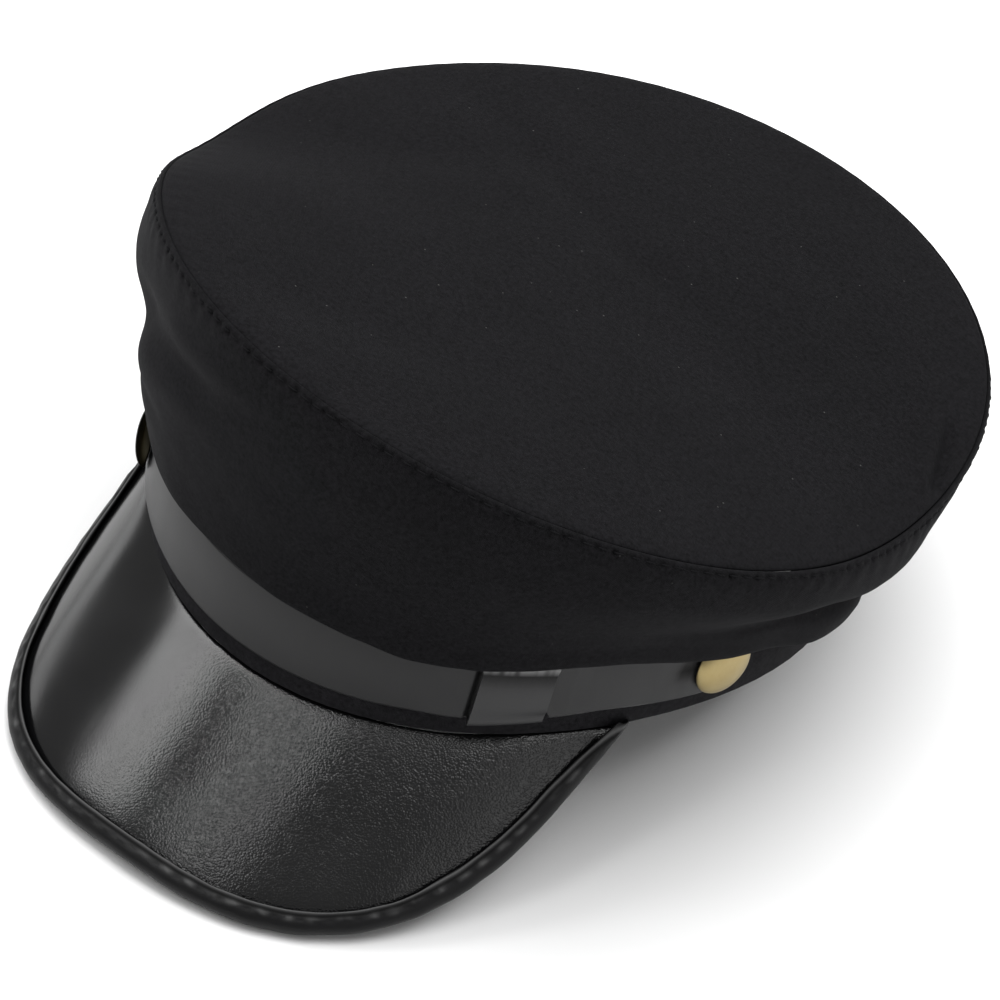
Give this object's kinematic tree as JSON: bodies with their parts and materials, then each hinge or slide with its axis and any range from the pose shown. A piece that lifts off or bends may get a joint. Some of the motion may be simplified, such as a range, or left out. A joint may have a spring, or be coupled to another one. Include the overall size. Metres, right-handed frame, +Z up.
{
  "type": "breton fisherman cap",
  "caption": "Soft black cloth cap with a wide flat crown, cloth head band, short leather peak with a rolled edge, and a strap with keeper loop between brass side buttons.",
  "frame": {"origin": "on the floor, under the middle of the cap's bounding box, with the cap resting by itself on the front corners of its peak and the back of its rim", "axes": "+Z up; the front of the cap, with its peak, faces -Y; the wearer's left is +X"},
  "size_m": [0.2076, 0.2824, 0.129],
  "materials": {
    "top_cloth": "matt black fine cotton twill",
    "side_cloth": "matt black fine cotton twill",
    "band_cloth": "matt black fine cotton twill",
    "peak_leather": "semi-gloss black faux leather, fine grain",
    "edge_leather": "semi-gloss black faux leather",
    "strap_leather": "satin black faux leather, smooth",
    "loop_leather": "satin black faux leather, smooth",
    "brass_left": "satin brass",
    "brass_right": "satin brass"
  },
  "bodies": {
    "root": {"crown_top": "top_cloth", "crown_side": "side_cloth", "head_band": "band_cloth", "peak": "peak_leather", "peak_binding": "edge_leather", "strap": "strap_leather", "strap_loop": "loop_leather", "button_left": "brass_left", "button_right": "brass_right"}
  },
  "joints": []
}
